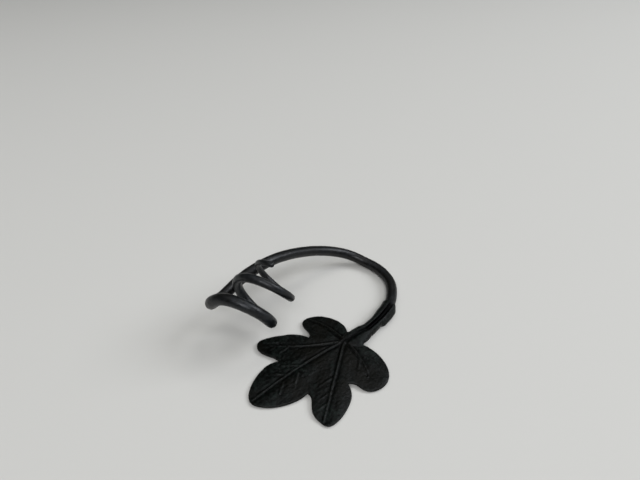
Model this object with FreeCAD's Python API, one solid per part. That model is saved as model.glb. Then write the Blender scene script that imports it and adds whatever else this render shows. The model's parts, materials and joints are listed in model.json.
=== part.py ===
import FreeCAD, Part

import os
from math import atan2, cos, degrees, hypot, pi, radians, sin

from FreeCAD import Placement, Rotation, Vector

# A hand-forged stand that cradles one bottle by its neck. Two pieces of black iron:
#   rod   one round bar: a base arc that lies on the table, a leg that rises and runs
#         along the neck's left side, and a coil of two turns drawn out to a thin tip
#   leaf  one sheet: a domed five-lobed blade with raised veins, whose stalk is rolled
#         round the start of the bar as a socket with an open seam and a flared lip
#
# Lengths are millimetres and angles are degrees. The table is the plane Z = 0, +X is the
# way the neck points towards the bottle's base seen from above, and +Y is its left side.
# Everything is drawn about the neck station, the place below the neck's ring on the
# table, and is moved to the middle of its own footprint at the end.

# Neck that the coil holds
NECK_TILT = 25.2
NECK_HEIGHT = 26.4

# Bar, full round from its shoulder up to the coil and drawn out thinner along it; the tang
# before the shoulder is the end that goes deepest into the socket
ROD_DIAMETER = 9.5
COIL_MIDDLE_DIAMETER = 6.9
TIP_DIAMETER = 4.4
TAPER_FIRST_TURN = 0.1
TAPER_MIDDLE_TURN = 1.25
TANG_DIAMETER = 7.4
TANG_LENGTH = 12.0
SHOULDER_LENGTH = 10.0
ROD_SPANS = 5
COIL_SPANS = 6
SWEEP_TOLERANCE = 0.03
SWEEP_ANGLE_TOLERANCE = 0.01

# Coil, a helix that narrows, tightens and leans; it starts on the neck's left
COIL_TURNS = 2.16
COIL_START = 7.6
COIL_PITCH = 26.2
COIL_PITCH_LOSS = 3.0
COIL_RADIUS = 22.1
COIL_RADIUS_LOSS = 2.15
COIL_FIRST_ANGLE = 140.6
LEAN_SIDE = 5.5
LEAN_SIDE_LOSS = 1.25
LEAN_TOP = 2.3
LEAN_TOP_LOSS = 2.4
POINTS_PER_TURN = 10

# Base arc on the table, seen from above; its far end starts to rise into the leg
ARC_CENTRE_X = 114.4
ARC_CENTRE_Y = -8.9
ARC_RADIUS = 41.8
ARC_FIRST_ANGLE = -56.0
ARC_LAST_ANGLE = 20.0
ARC_RISE_ANGLE = -12.0
ARC_RISE = 1.4
ARC_POINTS = 5

# Bar inside the socket: plan places, and how much of the socket's lift is left at each
STALK_LINE = [(90.0, -58.3, 1.0), (103.0, -57.1, 1.0), (116.0, -54.4, 0.88), (127.5, -50.1, 0.45)]

# Leg from the arc up to the crest: place along X, place out from the coil's radius, height
LEG_LINE = [(136.0, 1.9, 15.6), (118.0, 7.1, 23.2), (98.0, 8.5, 30.8), (78.0, 8.1, 37.0),
            (60.0, 7.4, 39.9), (44.0, 7.7, 38.8), (28.0, 8.0, 34.5)]
LEG_FOOT_ANGLE = 35.2
LEG_FOOT_RISE = 4.6

# Turn under the neck's left side: along the neck, out from the coil's radius, angle
BEND_LINE = [(13.8, 7.9, 186.6), (7.0, 5.9, 179.6), (4.2, 1.6, 162.6)]

# Leaf blade, drawn about the place where its veins meet
VEIN_CENTRE_X = 68.5
VEIN_CENTRE_Y = -54.5
BLADE_THICKNESS = 2.2
BLADE_RISE = 4.4
BLADE_CROWN = 2.2
STALK_REACH = 45.0
STALK_DIRECTION = -5.0
SHEET_PITCH = 5.0
SHEET_MARGIN = 8.0

# Veins, half sunk in the blade's top
VEIN_RADIUS = 1.5
VEIN_TIP_RADIUS = 0.6
VEIN_STEPS = 5
VEIN_START = 5.0
SIDE_VEIN_RADIUS = 0.8
SIDE_VEIN_TIP_RADIUS = 0.4
SIDE_VEIN_ANGLE = 40.0
SIDE_VEIN_STEPS = 2

# Stalk rolled round the start of the bar
SOCKET_WALL = 1.1
SOCKET_CLEARANCE = 0.1
SOCKET_LENGTH = 37.0
STALK_SPREAD = 1.9
STALK_SPREAD_LENGTH = 19.0
LIP_FLARE = 2.2
LIP_START = 18.5
LIP_STEP = 3.0
LIP_END = 6.0
SEAM_WIDTH = 2.4
SEAM_END_WIDTH = 1.2
SEAM_START = 2.0
SEAM_ANGLE = 20.0
SEAM_STEPS = 6
LOFT_DEGREE = 3
SECTION_POINTS = 12
JOINING_TOLERANCE = 0.05

# Solid stalk from the veins to the bar's end: share of the way, half widths on its inner
# and outer side, half height above its middle line and below it
STALK_SWELL = [(0.0, 3.0, 3.0, 1.9, 1.0), (0.3, 4.9, 9.9, 2.7, 1.7), (0.62, 5.7, 10.2, 4.4, 3.4)]


class Lobe:
    """One lobe of the blade: the two sides of its outline, and its veins."""

    def __init__(self, direction, length, bellies, widths, roundness, reach, midrib, side_veins):
        self.direction = direction
        self.length = length
        self.bellies = bellies
        self.widths = widths
        self.roundness = roundness
        self.reach = reach
        self.vein_direction, self.vein_length, self.vein_bow = midrib
        self.side_veins = side_veins

    def side(self, angle):
        """Outline place on the lobe's rounded end, from -90 on its right to 90 on its left."""
        hand = 0 if angle > 0 else 1
        belly = self.bellies[hand]
        width = self.widths[hand] if angle > 0 else -self.widths[hand]
        power = 2.0 / self.roundness
        ahead = abs(cos(radians(angle))) ** power
        out = abs(sin(radians(angle))) ** power
        return vein_frame(self.direction, belly + (self.length - belly) * ahead, width * out)

    def sides(self):
        """Outline places from the notch on the lobe's right to the notch on its left."""
        first, last = self.reach
        return [self.side(first + (last - first) * i / SIDE_STEPS) for i in range(SIDE_STEPS + 1)]

    def vein_place(self, along):
        """Plan place on the midrib, which bows to one side between its ends."""
        share = along / self.vein_length
        return vein_frame(self.vein_direction, along, self.vein_bow * 4.0 * share * (1.0 - share))


def vein_frame(direction, along, across):
    """Plan place at a distance from the vein centre and across that way, left positive."""
    a = radians(direction)
    x = VEIN_CENTRE_X + along * cos(a) - across * sin(a)
    y = VEIN_CENTRE_Y + along * sin(a) + across * cos(a)
    return x, y


# Direction, length, belly places and half widths left and right, roundness, angles at
# which the right and left side end, midrib's direction, length and bow, and side veins as
# place along the midrib, side and length
LOBES = [
    Lobe(98.2, 42.0, (16.9, 17.9), (11.2, 15.3), 1.9, (-90.0, 62.0), (93.3, 37.0, -2.4), []),
    Lobe(138.0, 68.1, (33.2, 39.3), (16.5, 8.8), 2.1, (-90.0, 55.0), (140.0, 58.0, 2.9),
         [(30.0, 1, 12.0), (43.0, 1, 10.0), (36.0, -1, 9.0)]),
    Lobe(176.4, 86.4, (53.1, 55.6), (17.7, 19.5), 1.7, (-90.0, 90.0), (175.8, 84.0, -1.8),
         [(41.0, -1, 14.0), (53.0, -1, 16.0), (41.0, 1, 14.0), (53.0, 1, 14.0)]),
    Lobe(-143.2, 73.2, (47.3, 49.6), (12.0, 16.7), 1.7, (-80.0, 90.0), (-145.0, 71.0, 0.0),
         [(35.0, -1, 14.0), (48.0, -1, 11.0), (55.0, -1, 10.0)]),
    Lobe(-103.9, 49.0, (25.0, 31.6), (17.2, 12.9), 2.2, (-68.0, 90.0), (-103.8, 34.0, 2.1),
         [(20.0, -1, 10.0)]),
]
SIDE_STEPS = 6

# Notches between the lobes, and the two corners where the blade meets the stalk, as
# distance and direction from the vein centre
NOTCHES = [(10.0, 31.0), (28.2, 130.0), (53.1, 158.0), (53.7, 197.0), (39.5, 229.0), (13.5, 300.0)]


def neck_point(along, out, angle):
    """Place along the neck's axis and out from it, the angle from its right side up."""
    tilt = radians(NECK_TILT)
    axis = Vector(cos(tilt), 0, sin(tilt))
    up = Vector(-sin(tilt), 0, cos(tilt))
    right = Vector(0, -1, 0)
    a = radians(angle)
    return Vector(0, 0, NECK_HEIGHT) + axis * along + right * (out * cos(a)) + up * (out * sin(a))


def coil_point(turn):
    """Place on the coil's centre line at a number of turns from its start."""
    angle = COIL_FIRST_ANGLE - 360.0 * turn
    a = radians(angle)
    along = COIL_START + (COIL_PITCH + COIL_PITCH_LOSS * (1.0 - turn)) * turn
    along += (LEAN_SIDE - LEAN_SIDE_LOSS * turn) * cos(a)
    along += (LEAN_TOP - LEAN_TOP_LOSS * turn) * sin(a)
    return neck_point(along, COIL_RADIUS - COIL_RADIUS_LOSS * turn, angle)


def arc_point(angle, height):
    """Place on the base arc in plan, its centre line at the given height."""
    a = radians(angle)
    return Vector(ARC_CENTRE_X + ARC_RADIUS * cos(a), ARC_CENTRE_Y + ARC_RADIUS * sin(a), height)


def rod_line():
    """Centre line of the whole bar, from its end inside the socket to the coil's tip."""
    rest = ROD_DIAMETER / 2.0
    lift = SOCKET_WALL + SOCKET_CLEARANCE
    points = [Vector(x, y, rest + lift * share) for x, y, share in STALK_LINE]
    for i in range(ARC_POINTS):
        angle = ARC_FIRST_ANGLE + (ARC_LAST_ANGLE - ARC_FIRST_ANGLE) * i / (ARC_POINTS - 1)
        share = max(0.0, (angle - ARC_RISE_ANGLE) / (ARC_LAST_ANGLE - ARC_RISE_ANGLE))
        points.append(arc_point(angle, rest + ARC_RISE * share * share))
    points.append(arc_point(LEG_FOOT_ANGLE, rest + LEG_FOOT_RISE))
    points += [Vector(x, COIL_RADIUS + out, height) for x, out, height in LEG_LINE]
    points += [neck_point(along, COIL_RADIUS + out, angle) for along, out, angle in BEND_LINE]
    count = int(round(COIL_TURNS * POINTS_PER_TURN))
    points += [coil_point(COIL_TURNS * i / count) for i in range(count + 1)]
    curve = Part.BSplineCurve()
    curve.interpolate(Points=points)
    return curve


def rod_radius(turn):
    """Bar radius by place in turns along the coil."""
    full = ROD_DIAMETER / 2.0
    middle = COIL_MIDDLE_DIAMETER / 2.0
    tip = TIP_DIAMETER / 2.0
    if turn <= TAPER_FIRST_TURN:
        return full
    if turn <= TAPER_MIDDLE_TURN:
        share = (turn - TAPER_FIRST_TURN) / (TAPER_MIDDLE_TURN - TAPER_FIRST_TURN)
        return full + (middle - full) * share
    return middle + (tip - middle) * (turn - TAPER_MIDDLE_TURN) / (COIL_TURNS - TAPER_MIDDLE_TURN)


def round_section(place, direction, radius):
    """Round section square to a direction, its seam turned up where that is possible."""
    side = Vector(0, 0, 1) if abs(direction.z) < 0.9 else Vector(1, 0, 0)
    side = (side - direction * side.dot(direction)).normalize()
    wire = Part.Wire([Part.makeCircle(radius)])
    wire.Placement = Placement(place, Rotation(side, direction.cross(side), direction, "ZXY"))
    return wire


def swept_span(curve, cuts, radii):
    """Round bar along one span of a curve, with its radius at the span's two ends."""
    shell = Part.BRepOffsetAPI.MakePipeShell(Part.Wire([Part.Edge(curve, cuts[0], cuts[1])]))
    shell.setFrenetMode(False)
    shell.setTolerance(SWEEP_TOLERANCE, SWEEP_TOLERANCE, SWEEP_ANGLE_TOLERANCE)
    for cut, radius in zip(cuts, radii):
        section = round_section(curve.value(cut), curve.tangent(cut)[0], radius)
        shell.add(section, False, False)
    shell.build()
    shell.makeSolid()
    return shell.shape()


def tang_radius(distance):
    """Bar radius by distance from its end inside the socket."""
    share = max(0.0, min(1.0, (distance - TANG_LENGTH) / SHOULDER_LENGTH))
    return (TANG_DIAMETER + (ROD_DIAMETER - TANG_DIAMETER) * share) / 2.0


def swept_bar(curve, cuts, radii):
    """Round bar along a curve in spans, with its radius given at each cut of the curve."""
    spans = []
    for i in range(len(cuts) - 1):
        spans.append(swept_span(curve, cuts[i:i + 2], radii[i:i + 2]))
    return spans[0].fuse(spans[1:])


def make_rod(curve):
    """The bar: tang, shoulder, full round to the coil, drawn out along it to a domed tip."""
    shoulder = TANG_LENGTH + SHOULDER_LENGTH
    distances = [0.0, TANG_LENGTH, shoulder]
    cuts = [curve.parameterAtDistance(d, curve.FirstParameter) for d in distances]
    radii = [tang_radius(distance) for distance in distances]
    coil = curve.parameter(coil_point(0.0))
    cuts += [cuts[-1] + (coil - cuts[-1]) * i / ROD_SPANS for i in range(1, ROD_SPANS)]
    radii += [ROD_DIAMETER / 2.0] * (ROD_SPANS - 1)
    turns = [COIL_TURNS * i / COIL_SPANS for i in range(COIL_SPANS + 1)]
    cuts += [curve.parameter(coil_point(turn)) for turn in turns[:-1]] + [curve.LastParameter]
    radii += [rod_radius(turn) for turn in turns]
    tip = Part.makeSphere(radii[-1], curve.value(cuts[-1]))
    return swept_bar(curve, cuts, radii).fuse(tip)


def outline_places():
    """Plan places round the blade: one list for each lobe, from notch to notch."""
    notches = []
    for distance, direction in NOTCHES:
        a = radians(direction)
        notches.append((VEIN_CENTRE_X + distance * cos(a), VEIN_CENTRE_Y + distance * sin(a)))
    lists = []
    for lobe, before, after in zip(LOBES, notches, notches[1:]):
        lists.append([before] + lobe.sides() + [after])
    return lists


def blend(first, last, share):
    """Value between two others, level at both ends."""
    return first + (last - first) * (1.0 - cos(pi * share)) / 2.0


def droop(x, y):
    """Height that the blade has lost at a plan place, by its dome and by each lobe's crown."""
    dx = x - VEIN_CENTRE_X
    dy = y - VEIN_CENTRE_Y
    ring = [(lobe.direction % 360.0, lobe.length) for lobe in LOBES]
    ring.append((STALK_DIRECTION % 360.0, STALK_REACH))
    here = degrees(atan2(dy, dx)) % 360.0
    ring.sort()
    ring = [(ring[-1][0] - 360.0, ring[-1][1])] + ring + [(ring[0][0] + 360.0, ring[0][1])]
    for (first, reach), (last, next_reach) in zip(ring, ring[1:]):
        if first <= here <= last:
            share = (here - first) / (last - first)
            out = hypot(dx, dy) / blend(reach, next_reach, share)
            return BLADE_RISE * out * out + BLADE_CROWN * out * sin(pi * share) ** 2
    return 0.0


def blade_top(lowest, x, y):
    """Height of the blade's top, whose lowest edge stands on the table."""
    return lowest + BLADE_THICKNESS - droop(x, y)


def make_blade(lowest):
    """Domed sheet cut to the five-lobed outline."""
    lists = outline_places()
    places = [place for places in lists for place in places]
    x_first = min(x for x, y in places) - SHEET_MARGIN
    x_last = max(x for x, y in places) + SHEET_MARGIN
    y_first = min(y for x, y in places) - SHEET_MARGIN
    y_last = max(y for x, y in places) + SHEET_MARGIN
    x_count = int((x_last - x_first) / SHEET_PITCH)
    y_count = int((y_last - y_first) / SHEET_PITCH)
    rows = []
    for i in range(x_count + 1):
        x = x_first + (x_last - x_first) * i / x_count
        row = []
        for j in range(y_count + 1):
            y = y_first + (y_last - y_first) * j / y_count
            row.append(Vector(x, y, blade_top(lowest, x, y)))
        rows.append(row)
    surface = Part.BSplineSurface()
    surface.interpolate(rows)
    sheet = surface.toShape().extrude(Vector(0, 0, -BLADE_THICKNESS))
    room = Vector(0, 0, BLADE_THICKNESS + BLADE_RISE + BLADE_CROWN)
    edges = []
    for places in lists:
        curve = Part.BSplineCurve()
        curve.interpolate(Points=[Vector(x, y, 0) - room for x, y in places])
        edges.append(curve.toShape())
    ends = [edges[-1].Vertexes[-1].Point, edges[0].Vertexes[0].Point]
    edges.append(Part.makeLine(ends[0], ends[1]))
    prism = Part.Face(Part.Wire(edges)).extrude(room + room)
    return sheet.common(prism)


def vein(lowest, places, first_radius, last_radius):
    """Tapered round rib along plan places, its middle on the blade's top."""
    curve = Part.BSplineCurve()
    curve.interpolate(Points=[Vector(x, y, blade_top(lowest, x, y)) for x, y in places])
    return swept_span(curve, [curve.FirstParameter, curve.LastParameter], [first_radius, last_radius])


def make_veins(lowest):
    """Midribs and side veins of all lobes."""
    veins = []
    for lobe in LOBES:
        step = (lobe.vein_length - VEIN_START) / VEIN_STEPS
        places = [lobe.vein_place(VEIN_START + step * i) for i in range(VEIN_STEPS + 1)]
        veins.append(vein(lowest, places, VEIN_RADIUS, VEIN_TIP_RADIUS))
        for along, hand, length in lobe.side_veins:
            x, y = lobe.vein_place(along)
            a = radians(lobe.vein_direction + hand * SIDE_VEIN_ANGLE)
            steps = [length * i / SIDE_VEIN_STEPS for i in range(SIDE_VEIN_STEPS + 1)]
            places = [(x + step * cos(a), y + step * sin(a)) for step in steps]
            veins.append(vein(lowest, places, SIDE_VEIN_RADIUS, SIDE_VEIN_TIP_RADIUS))
    return veins


def stalk_section(place, direction, inner, outer, above, below):
    """Closed section of the stalk, square to its course in plan."""
    side = Vector(-direction.y, direction.x, 0).normalize()
    points = []
    for i in range(SECTION_POINTS):
        a = radians(360.0 * i / SECTION_POINTS)
        width = inner if cos(a) > 0 else outer
        height = above if sin(a) > 0 else below
        points.append(place + side * (width * cos(a)) + Vector(0, 0, height * sin(a)))
    curve = Part.BSplineCurve()
    curve.interpolate(Points=points, PeriodicFlag=True)
    return Part.Wire([curve.toShape()])


def lip_flare(distance):
    """How far the lip stands out on the stalk's outer side, by distance from the bar's end."""
    in_share = (distance - LIP_START) / LIP_STEP
    out_share = (SOCKET_LENGTH - distance) / LIP_END
    return LIP_FLARE * blend(0.0, 1.0, max(0.0, min(1.0, in_share, out_share)))


def stalk_spread(distance):
    """How far the stalk is still spread on its outer side, by distance from the bar's end."""
    return STALK_SPREAD * max(0.0, 1.0 - distance / STALK_SPREAD_LENGTH)


def stalk_places():
    """Distances from the bar's end where the socket has a section."""
    lip = [LIP_START, LIP_START + LIP_STEP / 2.0, LIP_START + LIP_STEP]
    middle = (LIP_START + LIP_STEP + SOCKET_LENGTH - LIP_END) / 2.0
    mouth = [SOCKET_LENGTH - LIP_END, SOCKET_LENGTH - LIP_END / 2.0, SOCKET_LENGTH]
    return [0.0, LIP_START / 3.0, LIP_START * 2.0 / 3.0] + lip + [middle] + mouth


def make_stalk(curve, lowest):
    """Stalk from the veins out round the start of the bar, still without its bore."""
    end = curve.value(curve.FirstParameter)
    root = Vector(VEIN_CENTRE_X, VEIN_CENTRE_Y, lowest + BLADE_THICKNESS / 2.0)
    way = end - root
    wires = []
    for share, inner, outer, above, below in STALK_SWELL:
        wires.append(stalk_section(root + way * share, way, inner, outer, above, below))
    for distance in stalk_places():
        parameter = curve.parameterAtDistance(distance, curve.FirstParameter)
        place = curve.value(parameter)
        outside = tang_radius(distance) + SOCKET_CLEARANCE + SOCKET_WALL
        outer = outside + stalk_spread(distance) + lip_flare(distance)
        wires.append(stalk_section(place, curve.tangent(parameter)[0], outside, outer, outside, place.z))
    return Part.makeLoft(wires, True, False, False, LOFT_DEGREE)


def make_bore(curve):
    """Space for the bar: its own centre line and radii with the clearance added."""
    distances = [0.0, TANG_LENGTH, TANG_LENGTH + SHOULDER_LENGTH, SOCKET_LENGTH + ROD_DIAMETER]
    cuts = [curve.parameterAtDistance(d, curve.FirstParameter) for d in distances]
    return swept_bar(curve, cuts, [tang_radius(d) + SOCKET_CLEARANCE for d in distances])


def make_seam(curve):
    """Gap between the stalk's two rolled edges, on the top's outer side, widest half way."""
    left = []
    right = []
    for i in range(SEAM_STEPS + 1):
        share = i / SEAM_STEPS
        distance = SEAM_START + (SOCKET_LENGTH + SEAM_WIDTH - SEAM_START) * share
        parameter = curve.parameterAtDistance(distance, curve.FirstParameter)
        place = curve.value(parameter)
        direction = curve.tangent(parameter)[0]
        side = Vector(-direction.y, direction.x, 0).normalize()
        half = (SEAM_END_WIDTH + (SEAM_WIDTH - SEAM_END_WIDTH) * sin(pi * share)) / 2.0
        outside = tang_radius(distance) + SOCKET_CLEARANCE + SOCKET_WALL
        flat = Vector(place.x, place.y, ROD_DIAMETER / 2.0) - side * (outside * sin(radians(SEAM_ANGLE)))
        left.append(flat + side * half)
        right.append(flat - side * half)
    edges = []
    for points in (left, right[::-1]):
        edge = Part.BSplineCurve()
        edge.interpolate(Points=points)
        edges.append(edge.toShape())
    edges.insert(1, Part.makeLine(left[-1], right[-1]))
    edges.append(Part.makeLine(right[0], left[0]))
    return Part.Face(Part.Wire(edges)).extrude(Vector(0, 0, ROD_DIAMETER + SOCKET_WALL))


def make_leaf(curve):
    """The leaf: blade, veins and stalk in one piece, bored for the bar and open at its seam."""
    edge = [place for places in outline_places() for place in places]
    lowest = max(droop(x, y) for x, y in edge)
    body = make_blade(lowest).fuse([make_stalk(curve, lowest)], JOINING_TOLERANCE)
    body = body.cut([make_bore(curve), make_seam(curve)])
    return body.fuse(make_veins(lowest))


def main():
    """Builds both pieces, moves them to the middle of their footprint and writes them."""
    curve = rod_line()
    pieces = {"rod": make_rod(curve), "leaf": make_leaf(curve)}
    box = Part.makeCompound(list(pieces.values())).optimalBoundingBox(True, False)
    shift = Vector(-box.Center.x, -box.Center.y, -box.ZMin)
    os.makedirs("parts", exist_ok=True)
    for name, shape in pieces.items():
        shape.translate(shift)
        shape.exportStep("parts/" + name + ".step")
        print(name, round(shape.Volume), "mm3", "valid", shape.isValid(), "solids", len(shape.Solids))
    print("moved by", shift, "size", box.XLength, box.YLength, box.ZLength)


main()
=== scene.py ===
"""Dresses the forged bottle stand: the bar with its coil, and the leaf at its foot.

Lengths in the classes are millimetres and angles are degrees, drawn about the neck station:
the place on the table below the start of the axis round which the coil winds. Seen from
above, +X is the way that the axis rises, and +Y is on its left. The meshes are moved from
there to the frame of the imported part, in metres.
"""

from __future__ import annotations

import json
import logging
from dataclasses import dataclass, field
from enum import Enum
from math import cos, pi, radians, sin

import bpy
import numpy as np
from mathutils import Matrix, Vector

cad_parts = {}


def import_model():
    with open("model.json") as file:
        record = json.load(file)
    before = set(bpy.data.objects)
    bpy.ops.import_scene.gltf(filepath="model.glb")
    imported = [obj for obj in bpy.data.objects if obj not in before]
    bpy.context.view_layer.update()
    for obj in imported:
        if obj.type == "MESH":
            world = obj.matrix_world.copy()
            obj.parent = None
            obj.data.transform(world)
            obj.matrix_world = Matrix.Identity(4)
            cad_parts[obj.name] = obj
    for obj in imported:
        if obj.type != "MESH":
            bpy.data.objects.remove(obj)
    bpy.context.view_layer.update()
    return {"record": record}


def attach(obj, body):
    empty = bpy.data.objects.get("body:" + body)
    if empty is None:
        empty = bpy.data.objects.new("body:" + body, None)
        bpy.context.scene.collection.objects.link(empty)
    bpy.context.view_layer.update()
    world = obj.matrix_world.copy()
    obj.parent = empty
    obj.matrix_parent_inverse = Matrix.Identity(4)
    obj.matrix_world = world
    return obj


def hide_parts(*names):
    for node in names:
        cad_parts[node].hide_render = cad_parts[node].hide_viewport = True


LOG = logging.getLogger("bottle_stand")
METRES = 0.001
BODY = "root"
RELIEF = "relief"
JUST_INSIDE = -1e-4
SMALLEST = 1e-6
Socket = bpy.types.NodeSocket
Tree = bpy.types.NodeTree
Pair = tuple[float, float]
Triple = tuple[float, float, float]
Table = tuple[tuple[float, ...], ...]
# A mix node has sockets of the same names for numbers, for colours and for directions
MIX_FIRST, MIX_SECOND, MIX_RESULT = 6, 7, 2


def linear(hex_colour: str) -> tuple[float, float, float, float]:
    """Turns a written colour into the numbers that a shader takes.

    Args:
        hex_colour: sRGB colour such as "#1a1a1b".

    Returns:
        Linear red, green, blue and an alpha of one.
    """
    channels = [int(hex_colour[i : i + 2], 16) / 255.0 for i in (1, 3, 5)]
    flat = [c / 12.92 if c <= 0.04045 else ((c + 0.055) / 1.055) ** 2.4 for c in channels]
    return flat[0], flat[1], flat[2], 1.0


def per_metre(millimetres: float) -> float:
    """Noise scale at which one feature is the given number of millimetres wide."""
    return 1.0 / (millimetres * METRES)


def add_node(tree: Tree, kind: str, settings: dict | None = None) -> bpy.types.Node:
    """Adds a node to a tree, sets it up and links it.

    Args:
        tree: node tree that gets the node.
        kind: type name of the node.
        settings: values, or sockets to link from, by property name or by input name or number.

    Returns:
        The new node.
    """
    node = tree.nodes.new(kind)
    for name, value in (settings or {}).items():
        if isinstance(value, Socket):
            tree.links.new(value, node.inputs[name])
        elif isinstance(name, str) and hasattr(node, name):
            setattr(node, name, value)
        else:
            node.inputs[name].default_value = value
    return node


def emptied_tree(owner: bpy.types.Material | bpy.types.World) -> Tree:
    """Node tree of a material or a world, with no nodes in it."""
    owner.use_nodes = True
    owner.node_tree.nodes.clear()
    return owner.node_tree


def smoothstep(share: np.ndarray) -> np.ndarray:
    """Value from 0 to 1 that is level at both ends."""
    held = np.clip(share, 0.0, 1.0)
    return held * held * (3.0 - 2.0 * held)


def soft_min(first: np.ndarray, second: np.ndarray, reach: float) -> np.ndarray:
    """Lower of two fields, rounded over where they are within reach of each other."""
    near = np.maximum(reach - np.abs(first - second), 0.0) / reach
    return np.minimum(first, second) - near * near * reach / 4.0


def soft_max(first: np.ndarray, second: np.ndarray, reach: float) -> np.ndarray:
    """Higher of two fields, rounded over where they are within reach of each other."""
    return -soft_min(-first, -second, reach)


def hill(gap: np.ndarray, width: float | np.ndarray) -> np.ndarray:
    """Round hill of height one, by the gap from its middle."""
    return np.exp(-((gap / width) ** 2))


class Grain:
    """Repeatable smooth noise over places in space, about -1 to 1."""

    def __init__(self, seed: int, size: float) -> None:
        """Keeps the feature size in millimetres and fills the lattice from the seed."""
        self.size = size
        self.cells = 32
        self.lattice = np.random.default_rng(seed).uniform(-1.0, 1.0, (self.cells,) * 3)

    def at(self, places: np.ndarray) -> np.ndarray:
        """Noise at places.

        Args:
            places: x, y and z in millimetres along the last axis.

        Returns:
            One value for each place.
        """
        scaled = places / self.size
        cell = np.floor(scaled).astype(int)
        part = smoothstep(scaled - cell)
        total = np.zeros(places.shape[:-1])
        for corner in np.ndindex(2, 2, 2):
            index = (cell + np.array(corner)) % self.cells
            weight = np.ones(places.shape[:-1])
            for axis in range(3):
                weight *= part[..., axis] if corner[axis] else 1.0 - part[..., axis]
            total += weight * self.lattice[index[..., 0], index[..., 1], index[..., 2]]
        return total


def hammered(blows: Table, places: np.ndarray) -> np.ndarray:
    """Sum of grains at places, each given by its seed, its size in millimetres and its weight."""
    return sum(weight * Grain(seed, size).at(places) for seed, size, weight in blows)


def run_along(places: np.ndarray) -> np.ndarray:
    """Distance from the first place to each, from place to place."""
    return np.concatenate([[0.0], np.cumsum(np.linalg.norm(np.diff(places, axis=0), axis=1))])


class SmoothLine:
    """Smooth curve through given places, by its chord length from place to place."""

    def __init__(self, places: np.ndarray | list) -> None:
        """Keeps the places and works out the curve's slope at each of them."""
        self.places = np.asarray(places, float)
        self.knots = run_along(self.places)
        self.slopes = self._slopes()

    def _slopes(self) -> np.ndarray:
        """Slopes at which the curve's bending runs on unbroken through every place."""
        steps = np.diff(self.places, axis=0)
        chords = np.linalg.norm(steps, axis=1)
        count = len(self.places)
        matrix = np.zeros((count, count))
        right = np.zeros(self.places.shape)
        for i in range(1, count - 1):
            before, after = 1.0 / chords[i - 1], 1.0 / chords[i]
            matrix[i, i - 1 : i + 2] = before, 2.0 * (before + after), after
            right[i] = 3.0 * (steps[i - 1] * before**2 + steps[i] * after**2)
        matrix[0, 0] = matrix[-1, -1] = 1.0
        right[0] = self._end_slope(range(4))
        right[-1] = self._end_slope(range(count - 1, count - 5, -1))
        return np.linalg.solve(matrix, right)

    def _end_slope(self, order: range) -> np.ndarray:
        """Slope at the first of four places, from the cubic that passes through them."""
        knots = self.knots[list(order)]
        powers = np.vander(knots - knots[0], 4, increasing=True)
        return np.linalg.solve(powers, self.places[list(order)])[1]

    def at(self, values: np.ndarray) -> np.ndarray:
        """Places on the curve at chord-length values."""
        spans = np.searchsorted(self.knots, values, side="right") - 1
        spans = np.clip(spans, 0, len(self.knots) - 2)
        length = self.knots[spans + 1] - self.knots[spans]
        share = ((values - self.knots[spans]) / length)[:, None]
        length = length[:, None]
        return (
            (1 + 2 * share) * (1 - share) ** 2 * self.places[spans]
            + share * (1 - share) ** 2 * length * self.slopes[spans]
            + share**2 * (3 - 2 * share) * self.places[spans + 1]
            - share**2 * (1 - share) * length * self.slopes[spans + 1]
        )

    def sampled(self, step: float) -> tuple[np.ndarray, np.ndarray]:
        """Chord-length values about one step apart, and the places there."""
        values = np.linspace(0.0, self.knots[-1], int(round(self.knots[-1] / step)) + 1)
        return values, self.at(values)


@dataclass(frozen=True)
class Neck:
    """The axis that the coil winds round: its tilt, and the station that it is drawn about."""

    station: Triple
    tilt: float = 25.2
    height: float = 26.4

    def point(self, along: float, out: float, angle: float) -> np.ndarray:
        """Place along the neck's axis and out from it, the angle from its right side up."""
        tilt, a = radians(self.tilt), radians(angle)
        axis = np.array([cos(tilt), 0.0, sin(tilt)])
        up = np.array([-sin(tilt), 0.0, cos(tilt)])
        start = np.array([0.0, 0.0, self.height])
        return start + axis * along + np.array([0.0, -1.0, 0.0]) * out * cos(a) + up * out * sin(a)

    def to_frame(self, places: np.ndarray) -> np.ndarray:
        """Places about the neck station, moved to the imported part's frame in metres."""
        shift = np.array(self.station) - np.array([0.0, 0.0, self.height])
        return (places + shift) * METRES


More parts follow.
